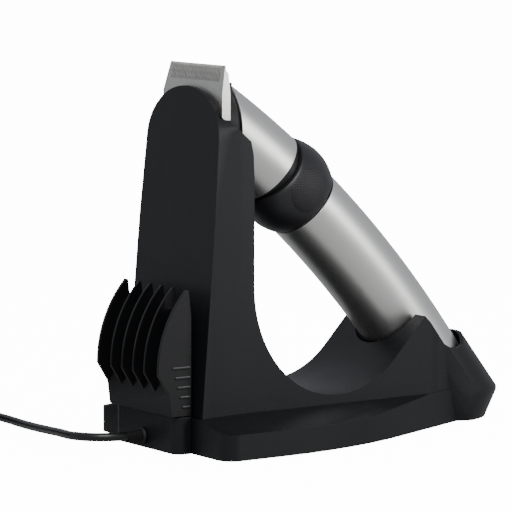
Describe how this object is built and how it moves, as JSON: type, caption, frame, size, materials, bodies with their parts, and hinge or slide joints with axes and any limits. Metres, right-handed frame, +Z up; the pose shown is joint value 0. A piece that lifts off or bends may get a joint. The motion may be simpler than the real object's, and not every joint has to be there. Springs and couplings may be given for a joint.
{
  "type": "hair clipper",
  "caption": "Bent cylindrical cordless hair clipper leaning in a tall charging stand, with a slotted guide comb on a block behind the column and a mains lead.",
  "frame": {"origin": "on the floor, under the middle of the stand, clipper and comb, the mains lead left out", "axes": "+X from the comb block towards the nose that holds the clipper's lower end, +Z up, Y across the middle plane"},
  "size_m": [0.3006, 0.216, 0.1652],
  "materials": {
    "stand_plastic": "fine satin moulding texture",
    "base_plastic": "fine satin moulding texture",
    "black_plastic": "satin",
    "comb_plastic": "satin, slightly translucent nylon",
    "steel": "brushed along its length",
    "blade_steel": "ground",
    "ring_plastic": "satin",
    "pad_rubber": "dotted grip texture",
    "rubber": "matte",
    "cable": "smooth flexible PVC sheath",
    "gold": "gold plated",
    "board": "green circuit board",
    "iron": "bare",
    "zinc": "zinc plated",
    "cell": "shrink-sleeved cell",
    "motor_steel": "plated",
    "white_plastic": "acetal",
    "nickel": "nickel plated"
  },
  "bodies": {
    "stand": {"stand_shell": "stand_plastic", "base_skirt": "base_plastic", "base_cover": "black_plastic", "comb_post": "base_plastic", "neck_saddle": "black_plastic", "contact_block": "black_plastic", "charge_board": "board", "base_weight": "iron", "cover_screws": "zinc", "rubber_feet": "rubber", "lead_grommet": "rubber", "inner_lead": "cable", "cord": "cable", "cord_coil": "cable", "cord_tie": "rubber", "adapter_body": "black_plastic", "adapter_cover": "black_plastic", "adapter_pins": "nickel"},
    "clipper": {"lower_sleeve": "steel", "upper_sleeve": "steel", "core_tube": "black_plastic", "groove_ring": "black_plastic", "end_cap": "black_plastic", "end_contacts": "gold", "end_seal": "rubber", "battery_cells": "cell", "main_board": "board", "motor": "motor_steel", "motor_bracket": "black_plastic", "head_frame": "black_plastic", "fixed_blade": "blade_steel", "blade_screws": "zinc", "blade_spring": "zinc"},
    "switch_ring": {"switch_ring": "ring_plastic", "grip_pads": "pad_rubber", "switch_wiper": "gold"},
    "cutter": {"moving_blade": "blade_steel", "cutter_yoke": "white_plastic"},
    "rotor": {"motor_shaft": "motor_steel", "eccentric": "white_plastic"},
    "guide_comb": {"guide_comb": "comb_plastic"},
    "contact_pins": {"contact_pins": "gold"}
  },
  "joints": [
    {"name": "clipper_lift", "type": "slide", "parent": "stand", "child": "clipper", "axis": [0, 0, 1], "range_m": [0, 0.1]},
    {"name": "ring_turn", "type": "hinge", "parent": "clipper", "child": "switch_ring", "pos_m": [-0.01574, 0, 0.11017], "axis": [-0.7583, 0, 0.6519], "range_deg": [0, 30]},
    {"name": "cutter_slide", "type": "slide", "parent": "clipper", "child": "cutter", "axis": [0, 1, 0], "range_m": [-0.0009, 0.0009]},
    {"name": "motor_spin", "type": "hinge", "parent": "clipper", "child": "rotor", "pos_m": [-0.0131, 0, 0.10788], "axis": [-0.7534, 0, 0.6576], "continuous": true},
    {"name": "comb_lift", "type": "slide", "parent": "stand", "child": "guide_comb", "axis": [0, 0, 1], "range_m": [0, 0.06]},
    {"name": "pin_press", "type": "slide", "parent": "stand", "child": "contact_pins", "axis": [-0.5664, 0, 0.8241], "range_m": [-0.0008, 0], "stiffness_N_per_m": 300}
  ]
}
